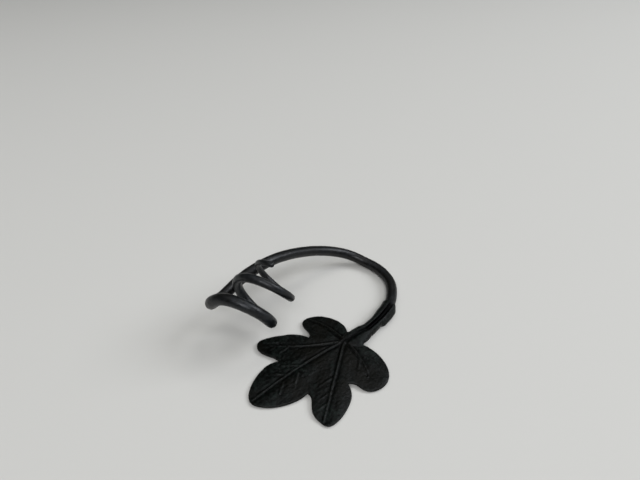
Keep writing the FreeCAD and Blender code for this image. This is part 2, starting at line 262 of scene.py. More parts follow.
@dataclass(frozen=True)
class BlackenedIron:
    """Forged mild steel with a baked black scale, oiled or waxed over.

    The scale is a neutral near-black film that hides the bright metal, so the iron looks
    like a satin black coat: dark in the body colour, with broad soft highlights that the
    hammered and scaled surface breaks up.
    """

    name: str
    body: str = "#020202"
    warm: str = "#060504"
    cool: str = "#0c0f12"
    # Colours of the painted highlight on ribs, rim and coil, and of the painted shade in hollows
    ridge_highlight: str = "#262a2e"
    painted_shade: str = "#020202"
    warm_clouds: Pair = (0.52, 0.36)
    cool_clouds: Pair = (0.24, 0.38)
    highlight_ramp: Pair = (0.0, 0.55)
    sheen_level: float = 0.34
    roughness: Pair = (0.31, 0.5)
    rough_scale: Pair = (0.3, 0.7)
    cloud_mm: float = 14.0
    scale_mm: float = 2.6
    scale_depth_mm: float = 0.2
    grit_mm: float = 0.8
    grit_depth_mm: float = 0.05
    noise_roughness: float = 0.55
    noise_details: Triple = (4.0, 3.0, 2.0)

    def material(self) -> bpy.types.Material:
        """Builds the node material.

        Returns:
            Material with colour, roughness and bump from noise in real sizes.
        """
        made = bpy.data.materials.new(self.name)
        tree = emptied_tree(made)
        place = add_node(tree, "ShaderNodeTexCoord").outputs["Object"]
        sizes = (self.cloud_mm, self.scale_mm, self.grit_mm)
        cloud, scale, grit = [
            add_node(tree, "ShaderNodeTexNoise", {
                "Vector": place, "Scale": per_metre(size), "Detail": detail,
                "Roughness": self.noise_roughness,
            }).outputs["Fac"]
            for size, detail in zip(sizes, self.noise_details)
        ]
        # The relief attribute carries painted light: 1 paints a highlight, -1 paints shade and
        # also dulls the sheen
        relief = add_node(tree, "ShaderNodeAttribute", {"attribute_name": RELIEF}).outputs["Fac"]
        unshaded_share = add_node(
            tree, "ShaderNodeMapRange", {"Value": relief, "From Min": -1.0, "From Max": 0.0}
        ).outputs["Result"]
        sheen = add_node(
            tree, "ShaderNodeMath", {"operation": "MULTIPLY", 0: unshaded_share, 1: self.sheen_level}
        ).outputs["Value"]
        rough = add_node(tree, "ShaderNodeMapRange", {
            "Value": scale, "From Min": self.rough_scale[0], "From Max": self.rough_scale[1],
            "To Min": self.roughness[0], "To Max": self.roughness[1],
        }).outputs["Result"]
        coarse = add_node(
            tree, "ShaderNodeBump", {"Distance": self.scale_depth_mm * METRES, "Height": scale}
        ).outputs["Normal"]
        fine = add_node(tree, "ShaderNodeBump", {
            "Distance": self.grit_depth_mm * METRES, "Height": grit, "Normal": coarse,
        }).outputs["Normal"]
        shader = add_node(tree, "ShaderNodeBsdfPrincipled", {
            "Base Color": self._colour(tree, cloud, scale, relief, unshaded_share),
            "Metallic": 0.0, "Roughness": rough, "Normal": fine, "Specular IOR Level": sheen,
        })
        add_node(tree, "ShaderNodeOutputMaterial", {"Surface": shader.outputs["BSDF"]})
        return made

    def _colour(
        self, tree: Tree, cloud: Socket, scale: Socket, relief: Socket, unshaded_share: Socket
    ) -> Socket:
        """Body colour, browner and bluer in clouds, with a painted highlight on ridges and painted
        shade in hollows.
        """
        broken_cloud, broken_relief = [
            add_node(
                tree, "ShaderNodeMath", {"operation": "MULTIPLY", 0: value, 1: scale}
            ).outputs["Value"]
            for value in (cloud, relief)
        ]
        tints = (
            (cloud, self.warm_clouds, self.warm),
            (broken_cloud, self.cool_clouds, self.cool),
            (broken_relief, self.highlight_ramp, self.ridge_highlight),
        )
        colour = linear(self.body)
        for value, (low, high), tint in tints:
            share = add_node(
                tree, "ShaderNodeMapRange", {"Value": value, "From Min": low, "From Max": high}
            ).outputs["Result"]
            colour = add_node(tree, "ShaderNodeMix", {
                "data_type": "RGBA", "Factor": share, MIX_FIRST: colour, MIX_SECOND: linear(tint),
            }).outputs[MIX_RESULT]
        return add_node(tree, "ShaderNodeMix", {
            "data_type": "RGBA", "Factor": unshaded_share, MIX_FIRST: linear(self.painted_shade),
            MIX_SECOND: colour,
        }).outputs[MIX_RESULT]


def placed(name: str, data: bpy.types.ID) -> bpy.types.Object:
    """Makes an object of a mesh, a light or a camera and links it to the scene."""
    made = bpy.data.objects.new(name, data)
    bpy.context.scene.collection.objects.link(made)
    return made


def mesh_object(
    name: str,
    places: np.ndarray,
    faces: list | np.ndarray,
    finish: bpy.types.Material,
    relief: np.ndarray | None = None,
) -> bpy.types.Object:
    """Makes a smooth-shaded mesh object and links it to the scene.

    Args:
        name: name of the piece.
        places: vertices in the part's frame, in metres.
        faces: vertex numbers of each face.
        finish: material of the piece.
        relief: for each vertex, 1 for a highlight painted on a ridge down to -1 for shade painted
            in a hollow.

    Returns:
        The new object.
    """
    mesh = bpy.data.meshes.new(name)
    mesh.from_pydata(places.tolist(), [], [list(face) for face in np.asarray(faces, object)])
    mesh.validate()
    mesh.polygons.foreach_set("use_smooth", [True] * len(mesh.polygons))
    mesh.materials.append(finish)
    if relief is not None:
        mask = mesh.attributes.new(RELIEF, "FLOAT", "POINT")
        mask.data.foreach_set("value", relief.astype(np.float32))
    return placed(name, mesh)


@dataclass
class Bar:
    """The round bar: base arc, leg, and the coil drawn out to a thin tip."""

    neck: Neck
    diameter: float = 9.5
    coil_middle_diameter: float = 6.9
    tip_diameter: float = 4.4
    tang_diameter: float = 7.4
    tang_length: float = 12.0
    shoulder_length: float = 10.0
    seam_sink: float = 2.0
    sink_reach: float = 32.0
    # Painted shade on the bar inside the socket, and a painted highlight over the coil
    socket_shade_reach: float = 40.0
    socket_ease: float = 8.0
    socket_shade_share: float = 0.94
    coil_highlight: float = 0.25
    highlight_turns: float = 0.4
    taper_turns: Pair = (0.1, 1.25)
    coil_turns: float = 2.16
    coil_start: float = 7.6
    coil_pitch: float = 26.2
    coil_pitch_loss: float = 3.0
    coil_radius: float = 22.1
    coil_radius_loss: float = 2.15
    coil_first_angle: float = 140.6
    lean_side: float = 5.5
    lean_side_loss: float = 1.25
    lean_top: float = 2.3
    lean_top_loss: float = 2.4
    points_per_turn: int = 10
    arc_centre: Pair = (114.4, -8.9)
    arc_radius: float = 41.8
    arc_angles: Pair = (-56.0, 20.0)
    arc_rise_angle: float = -12.0
    arc_rise: float = 1.4
    arc_points: int = 5
    socket_lift: float = 1.2
    stalk_line: Table = (
        (90.0, -58.3, 1.0), (103.0, -57.1, 1.0), (116.0, -54.4, 0.88), (127.5, -50.1, 0.45),
    )
    leg_line: Table = (
        (136.0, 1.9, 15.6), (118.0, 7.1, 23.2), (98.0, 8.5, 30.8), (78.0, 8.1, 37.0),
        (60.0, 7.4, 39.9), (44.0, 7.7, 38.8), (28.0, 8.0, 34.5),
    )
    leg_foot_angle: float = 35.2
    leg_foot_rise: float = 4.6
    bend_line: Table = ((13.8, 7.9, 186.6), (7.0, 5.9, 179.6), (4.2, 1.6, 162.6))
    ring_step: float = 0.9
    ring_points: int = 44
    tip_rings: int = 8
    tip_angle: float = 84.0
    hammer_depth: float = 0.16
    hammer_level: float = 0.75
    blows: Table = ((5, 7.0, 0.5), (6, 2.8, 0.25))

    def coil_point(self, turn: float) -> np.ndarray:
        """Place on the coil's centre line at a number of turns from its start."""
        angle = self.coil_first_angle - 360.0 * turn
        a = radians(angle)
        along = self.coil_start + (self.coil_pitch + self.coil_pitch_loss * (1.0 - turn)) * turn
        along += (self.lean_side - self.lean_side_loss * turn) * cos(a)
        along += (self.lean_top - self.lean_top_loss * turn) * sin(a)
        return self.neck.point(along, self.coil_radius - self.coil_radius_loss * turn, angle)

    def arc_point(self, angle: float, height: float) -> np.ndarray:
        """Place on the base arc in plan, its centre line at the given height."""
        a = radians(angle)
        x = self.arc_centre[0] + self.arc_radius * cos(a)
        return np.array([x, self.arc_centre[1] + self.arc_radius * sin(a), height])

    def line(self) -> tuple[SmoothLine, int]:
        """Centre line of the whole bar, and the number of the place where its coil starts."""
        rest = self.diameter / 2.0
        points = [
            np.array([x, y, rest + self.socket_lift * share]) for x, y, share in self.stalk_line
        ]
        first, last = self.arc_angles
        for angle in np.linspace(first, last, self.arc_points):
            share = max(0.0, (angle - self.arc_rise_angle) / (last - self.arc_rise_angle))
            points.append(self.arc_point(angle, rest + self.arc_rise * share * share))
        points.append(self.arc_point(self.leg_foot_angle, rest + self.leg_foot_rise))
        points += [
            np.array([x, self.coil_radius + out, height]) for x, out, height in self.leg_line
        ]
        points += [
            self.neck.point(along, self.coil_radius + out, angle)
            for along, out, angle in self.bend_line
        ]
        start = len(points)
        count = int(round(self.coil_turns * self.points_per_turn))
        points += [self.coil_point(self.coil_turns * i / count) for i in range(count + 1)]
        return SmoothLine(points), start

    def coil_radii(self, turns: np.ndarray) -> np.ndarray:
        """Bar radius by place in turns along the coil."""
        knots = [*self.taper_turns, self.coil_turns]
        diameters = [self.diameter, self.coil_middle_diameter, self.tip_diameter]
        return np.interp(turns, knots, diameters) / 2.0

    def tang_radii(self, distances: np.ndarray) -> np.ndarray:
        """Bar radius by distance from its end inside the socket."""
        knots = [self.tang_length, self.tang_length + self.shoulder_length]
        return np.interp(distances, knots, [self.tang_diameter, self.diameter]) / 2.0

    def rings(self) -> tuple[np.ndarray, np.ndarray, np.ndarray, np.ndarray, np.ndarray]:
        """Ring centres, two directions square to the bar at each, and ring radii.

        Returns:
            Centres, first directions, second directions and radii, the domed tip included, and the
            light painted on each ring: 1 for a painted highlight on the coil, -1 for painted shade
                in the socket.
        """
        line, start = self.line()
        values, centres = line.sampled(self.ring_step)
        coil_knots = line.knots[start:]
        coil_turns = np.linspace(0.0, self.coil_turns, len(coil_knots))
        turns = np.interp(values, coil_knots, coil_turns, left=-1.0)
        sunk = self.seam_sink * smoothstep((self.sink_reach - values) / self.socket_ease)
        # Painted light: a highlight painted over the coil, and shade painted on the bar inside the
        # socket
        painted_light = self.coil_highlight * smoothstep(turns / self.highlight_turns)
        painted_light -= self.socket_shade_share * smoothstep((self.socket_shade_reach - values) / self.socket_ease)
        radii = np.minimum(self.coil_radii(turns), self.tang_radii(values)) - sunk
        tangents = np.gradient(centres, axis=0)
        tangents /= np.linalg.norm(tangents, axis=1)[:, None]
        sides = [np.cross([0.0, 0.0, 1.0], tangents[0])]
        for tangent in tangents[1:]:
            side = sides[-1] - tangent * np.dot(sides[-1], tangent)
            sides.append(side / np.linalg.norm(side))
        dome = np.radians(np.linspace(0.0, self.tip_angle, self.tip_rings + 1))[1:]
        ahead = tangents[-1] * radii[-1] * np.sin(dome)[:, None]
        centres = np.vstack([centres, centres[-1] + ahead])
        radii = np.concatenate([radii, radii[-1] * np.cos(dome)])
        held = np.minimum(np.arange(len(radii)), len(sides) - 1)
        sides = np.array(sides)[held]
        return centres, sides, np.cross(tangents[held], sides), radii, painted_light[held]

    def build(self, finish: BlackenedIron) -> bpy.types.Object:
        """Makes the bar as one closed skin of rings, hammered a little under its full round.

        Args:
            finish: finish of the bar.

        Returns:
            The bar.
        """
        centres, sides, others, radii, painted_light = self.rings()
        around = np.radians(np.arange(self.ring_points) * 360.0 / self.ring_points)
        out = sides[:, None] * np.cos(around)[None, :, None]
        out = out + others[:, None] * np.sin(around)[None, :, None]
        full = (centres[:, None] + out * radii[:, None, None]).reshape(-1, 3)
        struck = self.hammer_level + hammered(self.blows, full)
        depth = self.hammer_depth * struck * np.repeat(radii / radii.max(), self.ring_points)
        places = full - out.reshape(-1, 3) * depth[:, None]
        ring = np.arange(self.ring_points)
        following = (ring + 1) % self.ring_points
        faces = []
        for row in range(len(radii) - 1):
            a, b = row * self.ring_points, (row + 1) * self.ring_points
            faces += np.stack([a + ring, a + following, b + following, b + ring], axis=1).tolist()
        faces.append(ring[::-1].tolist())
        faces.append((ring + (len(radii) - 1) * self.ring_points).tolist())
        painted_light_by_vertex = np.repeat(painted_light, self.ring_points)
        places = self.neck.to_frame(places)
        return mesh_object("bar", places, faces, finish.material(), painted_light_by_vertex)


class Side(Enum):
    """Side of a midrib on which a side vein leaves it, as the sign of its turn."""

    LEFT = 1
    RIGHT = -1


@dataclass(frozen=True)
class SideVein:
    """A side vein: where it leaves the midrib, on which side, its length and its start."""

    along: float
    side: Side
    length: float
    start: float = 0.0


@dataclass(frozen=True)
class Lobe:
    """One lobe of the blade: its outline left and right, and its midrib."""

    direction: float
    length: float
    bellies: Pair
    widths: Pair
    roundness: float
    reach: Pair
    vein_direction: float
    vein_length: float
    vein_bow: float
    side_veins: tuple[SideVein, ...] = ()

    def outline(self, steps: int) -> list[Pair]:
        """Places along and across the lobe's direction, from its right notch to its left."""
        places = []
        for angle in np.linspace(self.reach[0], self.reach[1], steps + 1):
            hand = 0 if angle > 0 else 1
            power = 2.0 / self.roundness
            ahead = abs(cos(radians(angle))) ** power
            out = abs(sin(radians(angle))) ** power * (1.0 if angle > 0 else -1.0)
            along = self.bellies[hand] + (self.length - self.bellies[hand]) * ahead
            places.append((along, self.widths[hand] * out))
        return places

    def bow(self, share: float) -> float:
        """How far the midrib bows to the left at a share of its length."""
        return self.vein_bow * 4.0 * share * (1.0 - share)


# Counter-clockwise seen from above, starting at the lobe below the coil
LOBES = (
    Lobe(98.2, 42.0, (16.9, 17.9), (11.2, 15.3), 1.9, (-90.0, 62.0), 93.3, 37.0, -2.4),
    Lobe(
        138.0, 68.6, (34.6, 39.3), (16.8, 9.1), 2.1, (-90.0, 55.0), 140.0, 58.0, 2.9,
        (
            SideVein(43.0, Side.LEFT, 10.0, 1.5), SideVein(53.0, Side.LEFT, 6.5, 1.5),
            SideVein(36.0, Side.RIGHT, 9.0),
        ),
    ),
    Lobe(
        176.4, 86.4, (54.4, 57.6), (19.6, 20.0), 1.7, (-90.0, 90.0), 175.8, 84.0, -1.8,
        (
            SideVein(41.0, Side.RIGHT, 14.0), SideVein(53.0, Side.RIGHT, 16.0),
            SideVein(41.0, Side.LEFT, 18.0, 7.0), SideVein(55.0, Side.LEFT, 16.0, 6.0),
        ),
    ),
    Lobe(
        -143.5, 73.8, (47.3, 49.6), (12.8, 16.5), 1.75, (-80.0, 90.0), -146.0, 71.0, 0.0,
        (
            SideVein(35.0, Side.RIGHT, 14.0), SideVein(48.5, Side.RIGHT, 11.0),
            SideVein(57.0, Side.RIGHT, 9.0),
        ),
    ),
    Lobe(
        -103.9, 48.8, (28.4, 31.6), (17.2, 13.4), 2.2, (-68.0, 90.0), -103.8, 34.0, 2.1,
        (SideVein(20.0, Side.RIGHT, 10.0),),
    ),
)


@dataclass
class PlanGrid:
    """Square grid over the table, on which the leaf's fields are worked out."""

    low: Pair
    high: Pair
    cell: float

    def __post_init__(self) -> None:
        """Lays out the grid's places."""
        self.xs = np.arange(self.low[0], self.high[0], self.cell)
        self.ys = np.arange(self.low[1], self.high[1], self.cell)
        self.x, self.y = np.meshgrid(self.xs, self.ys, indexing="ij")

    def to_line(self, places: np.ndarray) -> tuple[np.ndarray, np.ndarray, np.ndarray]:
        """Measures every grid place from a line in plan.

        Args:
            places: rows of x and y along the line.

        Returns:
            Distance to the line, distance along it to the nearest place, and the side as a
            sign, positive on the line's left.
        """
        best = np.full(self.x.shape, np.inf)
        along = np.zeros(self.x.shape)
        hand = np.ones(self.x.shape)
        run = 0.0
        for (ax, ay), (bx, by) in zip(places[:-1], places[1:]):
            length = float(np.hypot(bx - ax, by - ay))
            if length == 0.0:
                continue
            ux, uy = (bx - ax) / length, (by - ay) / length
            rx, ry = self.x - ax, self.y - ay
            reached = np.clip(rx * ux + ry * uy, 0.0, length)
            gap = np.hypot(rx - reached * ux, ry - reached * uy)
            near = gap < best
            best = np.where(near, gap, best)
            along = np.where(near, run + reached, along)
            hand = np.where(near, np.sign(ux * ry - uy * rx), hand)
            run += length
        return best, along, hand

    def to_outline(self, places: np.ndarray) -> np.ndarray:
        """Signed distance to a closed outline in plan, negative inside it."""
        closed = np.vstack([places, places[:1]])
        inside = np.zeros(self.x.shape, bool)
        for (ax, ay), (bx, by) in zip(closed[:-1], closed[1:]):
            spans = (ay > self.y) != (by > self.y)
            rise = by - ay if by != ay else 1.0
            inside ^= spans & (self.x < (bx - ax) * (self.y - ay) / rise + ax)
        return np.where(inside, -1.0, 1.0) * self.to_line(closed)[0]


def part_of(shape: tuple, steps: tuple | np.ndarray, spans: tuple | np.ndarray) -> tuple:
    """Slices of a grid moved on by steps, with room kept for the other steps of each span."""
    return tuple(slice(step, size - span + step) for step, size, span in zip(steps, shape, spans))


def unpinched(field_values: np.ndarray) -> np.ndarray:
    """Fills the corners at which a net would pinch, so that two faces meet at each of its edges.

    Args:
        field_values: values at the grid's corners, negative inside the solid.

    Returns:
        The field, just inside at each outer corner of a square whose signs alternate.
    """
    values = field_values.copy()
    while True:
        inside = values < 0.0
        pinched = np.zeros(values.shape, bool)
        for axis in range(3):
            spans = np.insert((1, 1), axis, 0)
            square = [
                part_of(values.shape, np.insert(steps, axis, 0), spans)
                for steps in ((0, 0), (1, 1), (0, 1), (1, 0))
            ]
            near, far, left, right = [inside[corner] for corner in square]
            alternate = (near == far) & (left == right) & (near != left)
            for corner in square:
                pinched[corner] |= alternate & ~inside[corner]
        if not pinched.any():
            return values
        values[pinched] = JUST_INSIDE


def net_of_field(field_values: np.ndarray) -> tuple[np.ndarray, np.ndarray]:
    """Nets the surface where a field on a grid changes sign.

    Args:
        field_values: values at the grid's corners, negative inside the solid.

    Returns:
        Vertices in grid steps, and faces of four vertex numbers.
    """
    inside = field_values < 0.0
    cells = tuple(n - 1 for n in field_values.shape)
    corners = list(np.ndindex(2, 2, 2))
    counted = [part_of(inside.shape, corner, (1, 1, 1)) for corner in corners]
    filled = sum(inside[corner].astype(np.int8) for corner in counted)
    active = np.argwhere((filled > 0) & (filled < 8))
    number = np.full(cells, -1, np.int64)
    number[tuple(active.T)] = np.arange(len(active))
    values = {c: field_values[tuple((active + np.array(c)).T)] for c in corners}
    total = np.zeros((len(active), 3))
    count = np.zeros(len(active))
    for corner in corners:
        for axis in range(3):
            if corner[axis]:
                continue
            other = tuple(c + (1 if i == axis else 0) for i, c in enumerate(corner))
            first, last = values[corner], values[other]
            crossed = (first < 0.0) != (last < 0.0)
            share = np.where(crossed, first / np.where(crossed, first - last, 1.0), 0.0)
            point = np.array(corner, float) + share[:, None] * np.eye(3)[axis]
            total += np.where(crossed[:, None], point, 0.0)
            count += crossed
    vertices = active + total / count[:, None]
    faces = []
    ways = np.eye(3, dtype=int)
    for axis in range(3):
        base = 1 - ways[axis]
        first, last = [part_of(inside.shape, steps, base + 1) for steps in (base, (1, 1, 1))]
        crossed = np.argwhere(inside[first] != inside[last]) + base
        one, two = ways[(axis + 1) % 3], ways[(axis + 2) % 3]
        quad = [crossed, crossed - one, crossed - one - two, crossed - two]
        quad = np.stack([number[tuple(cell.T)] for cell in quad], axis=1)
        leaving = inside[tuple(crossed.T)]
        faces.append(np.where(leaving[:, None], quad, quad[:, ::-1]))
    return vertices, np.vstack(faces)


@dataclass
class Leaf:
    """The leaf: a domed five-lobed blade with raised veins, and its rolled stalk."""

    neck: Neck
    bar: Bar
    lobes: tuple[Lobe, ...] = LOBES
    notches: Table = (
        (10.0, 31.0), (28.2, 130.0), (53.1, 158.0), (54.6, 197.2), (39.5, 229.0), (12.0, 304.0),
    )
    centre: Pair = (68.5, -54.5)
    thickness: float = 2.2
    rise: float = 4.4
    crown: float = 2.2
    rim_round: float = 0.85
    stalk_reach: float = 45.0
    stalk_direction: float = -5.0
    side_steps: int = 6
    outline_step: float = 1.5
    margin: float = 3.0
    stalk_room: float = 12.0
    rib_height: Pair = (0.8, 0.36)
    rib_width: Pair = (0.58, 0.46)
    side_rib_height: Pair = (0.4, 0.25)
    side_rib_width: Pair = (0.6, 0.5)
    side_vein_angle: float = 40.0
    vein_steps: tuple[int, int] = (24, 6)
    valley_depth: float = 0.5
    valley_place: float = 1.9
    valley_taper: float = 0.4
    valley_width: float = 1.0
    valley_shade: float = 0.7
    rim_light: float = 0.6
    rim_width: float = 0.9
    pillow: float = 0.8
    pillow_reach: float = 9.0
    wall: float = 1.1
    clearance: float = 0.1
    socket_length: float = 37.0
    stalk_spread: float = 1.9
    stalk_spread_length: float = 19.0
    lip_flare: float = 2.2
    lip: Triple = (12.5, 3.0, 6.0)
    lip_height: float = 6.5
    seam_widths: Pair = (1.5, 1.7)
    seam_angle: float = 20.0
    seam_round: float = 3.0
    furrow_depth: float = 2.8
    seam_shade: float = 0.75
    seam_shade_reach: float = 2.4
    stalk_swell: Table = (
        (0.0, 3.0, 3.0, 1.9, 1.0), (0.3, 4.9, 9.9, 2.7, 1.7), (0.62, 5.7, 10.2, 4.4, 3.4),
    )
    stalk_steps: int = 60
    path_step: float = 0.5
    path_beyond_mouth: float = 8.0
    mouth_round: float = 0.8
    bore_round: float = 0.4
    furrow_round: float = 1.2
    fillet: float = 2.2
    cell: float = 0.47
    layers: Pair = (-2.0, 16.5)
    foot_gap: float = 0.04
    relief_from_stalk: float = 1.0
    hammer: float = 0.2
    hammer_level: float = -0.6
    blows: Table = ((11, 7.0, 1.0), (12, 3.0, 0.5))
    streak_seed: int = 13
    streak_length: float = 9.0
    streak_width: float = 1.5
    streak_depth: float = 0.16
    streak_turn: float = 28.0
    streak_fade: float = 14.0
    pit_seed: int = 15
    pits: int = 16
    pit_depth: float = 0.35
    pit_along: Pair = (0.25, 0.85)
    pit_across: Pair = (-8.0, 8.0)
    pit_sizes: Pair = (0.6, 1.2)
    pit_lip: Triple = (1.7, 0.5, 0.5)
    punch_mark: Triple = (51.0, 2.0, 1.1)
    grid: PlanGrid = field(init=False)

    def __post_init__(self) -> None:
        """Lays the plan grid over the outline, with room round it."""
        outline = self.outline()
        stalk_end = self.stalk_path()[0][:, :2].max(axis=0) + self.stalk_room
        low = outline.min(axis=0) - self.margin
        high = np.maximum(outline.max(axis=0), stalk_end) + self.margin
        self.grid = PlanGrid(tuple(low), tuple(high), self.cell)

    def from_centre(self, direction: float, along: float, across: float = 0.0) -> Pair:
        """Plan place at a distance from the vein centre and across that way, left positive."""
        a = radians(direction)
        x = self.centre[0] + along * cos(a) - across * sin(a)
        return x, self.centre[1] + along * sin(a) + across * cos(a)

    def outline(self) -> np.ndarray:
        """Fine outline of the blade in plan, round the five lobes."""
        corners = [self.from_centre(direction, distance) for distance, direction in self.notches]
        parts = []
        for lobe, before, after in zip(self.lobes, corners, corners[1:]):
            sides = [
                self.from_centre(lobe.direction, *place) for place in lobe.outline(self.side_steps)
            ]
            _, places = SmoothLine([before, *sides, after]).sampled(self.outline_step)
            parts.append(places)
        return np.vstack(parts)

    def droop(self, x: np.ndarray, y: np.ndarray) -> np.ndarray:
        """Height that the blade has lost by its dome and by each lobe's crown."""
        dx, dy = x - self.centre[0], y - self.centre[1]
        ring = sorted(
            [(lobe.direction % 360.0, lobe.length) for lobe in self.lobes]
            + [(self.stalk_direction % 360.0, self.stalk_reach)]
        )
        (first, reach), (last, last_reach) = ring[0], ring[-1]
        ring = [(last - 360.0, last_reach), *ring, (first + 360.0, reach)]
        here = np.degrees(np.arctan2(dy, dx)) % 360.0
        lost = np.zeros(np.shape(x))
        for (first, reach), (last, next_reach) in zip(ring, ring[1:]):
            share = np.clip((here - first) / (last - first), 0.0, 1.0)
            reached = reach + (next_reach - reach) * (1.0 - np.cos(pi * share)) / 2.0
            out = np.hypot(dx, dy) / reached
            value = self.rise * out**2 + self.crown * out * np.sin(pi * share) ** 2
            lost = np.where((here >= first) & (here <= last), value, lost)
        return lost

    def veins(self) -> list[tuple[np.ndarray, Pair, Pair]]:
        """Plan line of each vein with its heights and widths, from its root to its tip."""
        found = []
        for lobe in self.lobes:
            shares = np.linspace(0.0, 1.0, self.vein_steps[0] + 1)
            line = [
                self.from_centre(lobe.vein_direction, share * lobe.vein_length, lobe.bow(share))
                for share in shares
            ]
            found.append((np.array(line), self.rib_height, self.rib_width))
            for vein in lobe.side_veins:
                bow = lobe.bow(vein.along / lobe.vein_length)
                root = np.array(self.from_centre(lobe.vein_direction, vein.along, bow))
                a = radians(lobe.vein_direction + vein.side.value * self.side_vein_angle)
                steps = np.linspace(vein.start, vein.length, self.vein_steps[1] + 1)[:, None]
                line = root + steps * np.array([cos(a), sin(a)])
                found.append((line, self.side_rib_height, self.side_rib_width))
        return found

    def relief(self, edge: np.ndarray) -> tuple[np.ndarray, np.ndarray]:
        """Ribs, the valleys beside them, and the pillows that rise between them.

        Args:
            edge: signed distance to the outline, negative inside.

        Returns:
            Height that is added to the blade's top, and a mask from 1 on ribs and rim, where a
            highlight is painted, to -1 in the valleys, where shade is painted.
        """
        ribs = np.zeros(self.grid.x.shape)
        valleys = np.zeros(self.grid.x.shape)
        nearest = np.full(self.grid.x.shape, np.inf)
        for line, heights, widths in self.veins():
            gap, along, _ = self.grid.to_line(line)
            share = along / np.linalg.norm(np.diff(line, axis=0), axis=1).sum()
            height, width = [root + (tip - root) * share for root, tip in (heights, widths)]
            ribs = np.maximum(ribs, height * hill(gap, width))
            taper = 1.0 - self.valley_taper + self.valley_taper * height / heights[0]
            valley = hill(gap - self.valley_place * taper, self.valley_width)
            valleys = np.maximum(valleys, height / self.rib_height[0] * valley)
            if heights is self.rib_height:
                nearest = np.minimum(nearest, gap)
        low = 1.0 - smoothstep(nearest / self.pillow_reach)
        free = 1.0 - np.clip(ribs, 0.0, 1.0)
        # Painted highlight along the rim and on the ribs, painted shade in the valleys beside them
        rim = self.rim_light * hill(edge, self.rim_width)
        mask = np.maximum(ribs / self.rib_height[0], rim) - self.valley_shade * valleys * free
        height = ribs - self.valley_depth * valleys * free - self.pillow * low
        return height, np.clip(mask, -1.0, 1.0)

    def surface(self) -> np.ndarray:
        """Hammer blows, chased strokes that run along each lobe, and small pits.

        Returns:
            Height that they add to the blade's top, seldom above zero.
        """
        x, y = self.grid.x, self.grid.y
        flat = np.zeros(x.shape)
        struck = hammered(self.blows, np.stack([x, y, flat], axis=-1))
        height = self.hammer * (struck + self.hammer_level)
        dx, dy = x - self.centre[0], y - self.centre[1]
        here = np.degrees(np.arctan2(dy, dx))
        strokes = Grain(self.streak_seed, 1.0)
        for lobe in self.lobes:
            a = radians(lobe.direction)
            along = (x * cos(a) + y * sin(a)) / self.streak_length
            across = (y * cos(a) - x * sin(a)) / self.streak_width
            turned = np.abs((here - lobe.direction + 180.0) % 360.0 - 180.0)
            drawn = strokes.at(np.stack([along, across, flat + a], axis=-1))
            shown = smoothstep((self.streak_turn - turned) / self.streak_fade)
            height += self.streak_depth * drawn * shown
        chance = np.random.default_rng(self.pit_seed)
        marks = [(self.lobes[1], *self.punch_mark)]
        for _ in range(self.pits):
            lobe = self.lobes[chance.integers(len(self.lobes))]
            place = chance.uniform(*self.pit_along) * lobe.length, chance.uniform(*self.pit_across)
            marks.append((lobe, *place, chance.uniform(*self.pit_sizes)))
        lip_place, lip_width, lip_height = self.pit_lip
        for lobe, along, across, size in marks:
            middle_x, middle_y = self.from_centre(lobe.direction, along, across)
            gap = np.hypot(x - middle_x, y - middle_y) / size
            lip = lip_height * hill(gap - lip_place, lip_width)
            height -= self.pit_depth * (hill(gap, 1.0) - lip)
        return height

    def stalk_path(self) -> tuple[np.ndarray, float]:
        """Centre line from the vein centre out past the socket's mouth.

        Returns:
            Places one path step apart, and the distance from the first to the bar's end.
        """
        _, places = self.bar.line()[0].sampled(self.path_step)
        distances = run_along(places)
        socket = places[distances < self.socket_length + self.path_beyond_mouth]
        root = np.array([*self.centre, self.lowest() + self.thickness / 2.0])
        reach = float(np.linalg.norm(socket[0] - root))
        shares = np.arange(0.0, reach, self.path_step)[:, None] / reach
        return np.vstack([root + (socket[0] - root) * shares, socket]), reach

    def lowest(self) -> float:
        """Greatest droop round the outline, so that the blade's rim stands on the table."""
        outline = self.outline()
        return float(self.droop(outline[:, 0], outline[:, 1]).max())

    def stalk_sizes(
        self, along: np.ndarray, reach: float, heights: np.ndarray
    ) -> list[np.ndarray]:
        """Half widths and half heights of the stalk by distance along it.

        Args:
            along: distances from the vein centre.
            reach: distance at which the bar's end stands.
            heights: height of the centre line at each distance.

        Returns:
            Inner and outer half width, and half height above and below.
        """
        outside = self.bar.tang_diameter / 2.0 + self.clearance + self.wall
        knots = [reach * row[0] for row in self.stalk_swell] + [reach]
        fine = np.linspace(0.0, reach, self.stalk_steps)
        sizes = []
        for column, spread in ((1, 0.0), (2, self.stalk_spread), (3, 0.0), (4, 0.0)):
            values = [row[column] for row in self.stalk_swell] + [outside + spread]
            _, curve = SmoothLine(np.column_stack([knots, values])).sampled(self.path_step)
            sizes.append(np.interp(along, fine, np.interp(fine, curve[:, 0], curve[:, 1])))
        inner, outer, above, below = sizes
        distance = along - reach
        grown = self.bar.tang_radii(distance) - self.bar.tang_diameter / 2.0
        spread = self.stalk_spread * np.clip(distance / self.stalk_spread_length, 0.0, 1.0)
        below = np.where(distance > 0.0, heights, below)
        return [inner + grown, outer + grown - spread, above + grown, below]

